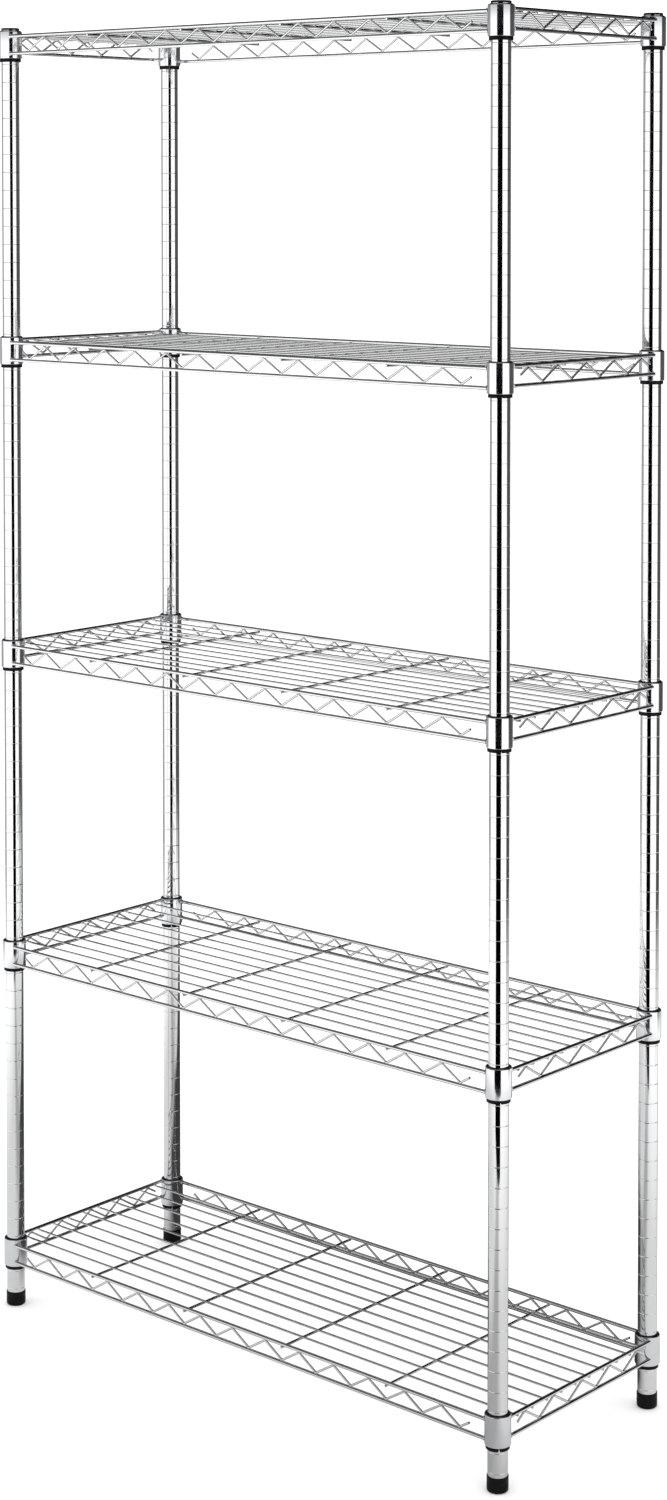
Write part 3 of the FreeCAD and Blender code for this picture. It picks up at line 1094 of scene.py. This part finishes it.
class RACK_OT_rails(bpy.types.Operator):
    """Makes the upper and lower rails around every shelf"""

    bl_idname = "rack.rails"
    bl_label = "Rails"

    def execute(self, context):
        off_x, off_y = rail_line(0), rail_line(1)
        for level in SHELVES:
            node = "shelf_%d_rails" % level
            heights = rail_heights(level)
            shell = bmesh.new()
            for side in (-1, 1):
                for height in heights[:2]:
                    self.rail(shell, POST_X, off_y - POST_Y, Vector((1, 0, 0)),
                              Vector((0, side * off_y, height)))
                for height in heights[2:]:
                    self.rail(shell, POST_Y, off_x - POST_X, Vector((0, 1, 0)),
                              Vector((side * off_x, 0, height)))
            place_on_shelf("rails", level, shell, wire_chrome(), node)
        return {"FINISHED"}

    def rail(self, shell, half_span, offset, along, middle):
        """One rail whose ends butt on the collars it runs between."""
        touch = math.sqrt(COLLAR_RADIUS ** 2 - offset ** 2)
        weld_depth = 0.0012
        reach = half_span - touch + weld_depth
        stations = (-1.0, -0.985, -0.5, 0.0, 0.5, 0.985, 1.0)
        points = [middle + along * reach * station for station in stations]
        drawn_wire(shell, points, RAIL_RADIUS, RAIL_SIDES)


class RACK_OT_zigzags(bpy.types.Operator):
    """Bends the zigzag wires between the rails of every shelf"""

    bl_idname = "rack.zigzags"
    bl_label = "Zigzag wires"

    def execute(self, context):
        tree = shared_tree("zigzag_wire", zigzag_tree)
        pitch = wires().wave_pitch
        bend = wires().bend_radius
        bite = 0.0003
        crest = RAIL_DROP / 2 - RAIL_RADIUS - wires().zigzag_radius + bite
        peak = crest
        for _ in range(30):  # settles on the sharp peak behind the round crest
            peak = crest + bend * (1 / math.cos(math.atan(4 * peak / pitch)) - 1)
        for level in SHELVES:
            node = "shelf_%d_trusses" % level
            heights = rail_heights(level)
            runs = (
                (LONG_CRESTS, rail_line(1), sum(heights[:2]) / 2, 0.0),
                (SHORT_CRESTS, rail_line(0), sum(heights[2:]) / 2, math.pi / 2),
            )
            shell = bmesh.new()
            for crests, side, height, turn in runs:
                shaped_by(shell, node, tree, {
                    "Crests": crests,
                    "Pitch": pitch,
                    "Peak": peak,
                    "Reach": crests * pitch / 4,
                    "Bend Radius": bend,
                    "Wire Radius": wires().zigzag_radius,
                    "Side": side,
                    "Height": height,
                    "Turn": turn,
                    "Material": wire_chrome(),
                })
            place_on_shelf("zigzags", level, shell, wire_chrome(), node)
        return {"FINISHED"}


class RACK_OT_deck(bpy.types.Operator):
    """Lays the deck wires and the cross wires under them on every shelf"""

    bl_idname = "rack.deck"
    bl_label = "Deck and cross wires"

    def execute(self, context):
        tree = shared_tree("wire_rows", wire_rows_tree)
        pitch = wires().wave_pitch
        rows = (
            ("deck_wires", DECK_WIRES, pitch / 2, wires().deck_radius, 0),
            ("cross_wires", CROSS_WIRES, pitch * 3, wires().cross_radius, 1),
        )
        for level in SHELVES:
            for kind, count, spacing, radius, direction in rows:
                node = "shelf_%d_%s" % (level, kind)
                shell = bmesh.new()
                shaped_by(shell, node, tree, {
                    "Count": count,
                    "Pitch": spacing,
                    "Reach": half_size(node, direction),
                    "Radius": radius,
                    "Height": node_middle(node).z,
                    "Chamfer": wires().end_round,
                    "Turn": direction * math.pi / 2,
                    "Sides": WIRE_SIDES,
                    "Material": wire_chrome(),
                })
                place_on_shelf(kind, level, shell, wire_chrome(), node)
        return {"FINISHED"}


class RACK_OT_welds(bpy.types.Operator):
    """Adds the weld beads at the collars and the spot welds where wires cross"""

    bl_idname = "rack.welds"
    bl_label = "Welds"

    def execute(self, context):
        tree = shared_tree("weld_beads", weld_tree)
        for level in SHELVES:
            shell = bmesh.new()
            for spots, radius, flat in (
                (self.collar_spots(level), wires().bead_radius, 0.9),
                (self.crossing_spots(level), wires().nugget_radius, 0.8),
            ):
                points = bpy.data.meshes.new("weld_points")
                points.from_pydata(spots, [], [])
                shaped_by(shell, "welds", tree, {
                    "Radius": radius,
                    "Flatness": flat,
                    "Seed": level,
                    "Material": wire_chrome(),
                }, points)
            place_on_shelf("welds", level, shell, wire_chrome())
        return {"FINISHED"}

    def collar_spots(self, level):
        """Over and under each rail where it meets a collar."""
        heights = rail_heights(level)
        touch = collar_touch()
        spots = []
        for corner in CORNERS:
            axis = post_axis(corner)
            side_x = math.copysign(1, axis.x)
            side_y = math.copysign(1, axis.y)
            long_end = (axis.x - side_x * touch, side_y * rail_line(1))
            short_end = (side_x * rail_line(0), axis.y - side_y * touch)
            for (x, y), pair in ((long_end, heights[:2]), (short_end, heights[2:])):
                for height in pair:
                    for lift in (-1, 1):
                        spots.append((x, y, height + lift * RAIL_RADIUS * BEAD_LIFT))
        return spots

    def crossing_spots(self, level):
        """Where deck wires meet cross wires and short rails, and cross wires meet long rails."""
        pitch = wires().wave_pitch
        deck_z = node_middle("shelf_%d_deck_wires" % level).z
        columns = [(column - (CROSS_WIRES - 1) / 2) * pitch * 3 for column in range(CROSS_WIRES)]
        spots = []
        for row in range(DECK_WIRES):
            y = (row - (DECK_WIRES - 1) / 2) * pitch / 2
            for x in columns:
                spots.append((x, y, deck_z - wires().deck_radius))
            for side in (-1, 1):
                spots.append((side * rail_line(0), y, deck_z + wires().deck_radius))
        rail_under = rail_heights(level)[0] - RAIL_RADIUS
        for x in columns:
            for side in (-1, 1):
                spots.append((x, side * rail_line(1), rail_under))
        return spots


class RACK_PT_panel(bpy.types.Panel):
    """Sizes, finishes and the pieces of the rack in the order they are made"""

    bl_idname = "RACK_PT_panel"
    bl_label = "Wire Rack"
    bl_space_type = "VIEW_3D"
    bl_region_type = "UI"
    bl_category = "Wire Rack"

    def draw(self, context):
        for group in (posts(), wires(), finishes(), context.scene.rack_stage):
            box = self.layout.box()
            for name in group.__annotations__:
                box.prop(group, name)
        for piece in PIECES:
            self.layout.operator(piece.bl_idname)


GROUPS = {
    "rack_posts": RackPostSizes,
    "rack_shelves": RackShelfSizes,
    "rack_finishes": RackFinishes,
    "rack_stage": RackStage,
}
PIECES = (
    RACK_OT_stage,
    RACK_OT_posts,
    RACK_OT_caps,
    RACK_OT_feet,
    RACK_OT_foot_studs,
    RACK_OT_fasteners,
    RACK_OT_sleeves,
    RACK_OT_collars,
    RACK_OT_rails,
    RACK_OT_zigzags,
    RACK_OT_deck,
    RACK_OT_welds,
)


def register():
    for group in (*GROUPS.values(), *PIECES, RACK_PT_panel):
        bpy.utils.register_class(group)
    for name, group in GROUPS.items():
        setattr(bpy.types.Scene, name, PointerProperty(type=group))


def unregister():
    for name in GROUPS:
        delattr(bpy.types.Scene, name)
    for group in reversed((*GROUPS.values(), *PIECES, RACK_PT_panel)):
        bpy.utils.unregister_class(group)


def main():
    register()
    bpy.ops.rack.stage()
    bpy.ops.rack.posts()
    bpy.ops.rack.caps()
    bpy.ops.rack.feet()
    bpy.ops.rack.foot_studs()
    bpy.ops.rack.fasteners()
    bpy.ops.rack.sleeves()
    bpy.ops.rack.collars()
    bpy.ops.rack.rails()
    bpy.ops.rack.zigzags()
    bpy.ops.rack.deck()
    bpy.ops.rack.welds()


if __name__ == "__main__":
    main()
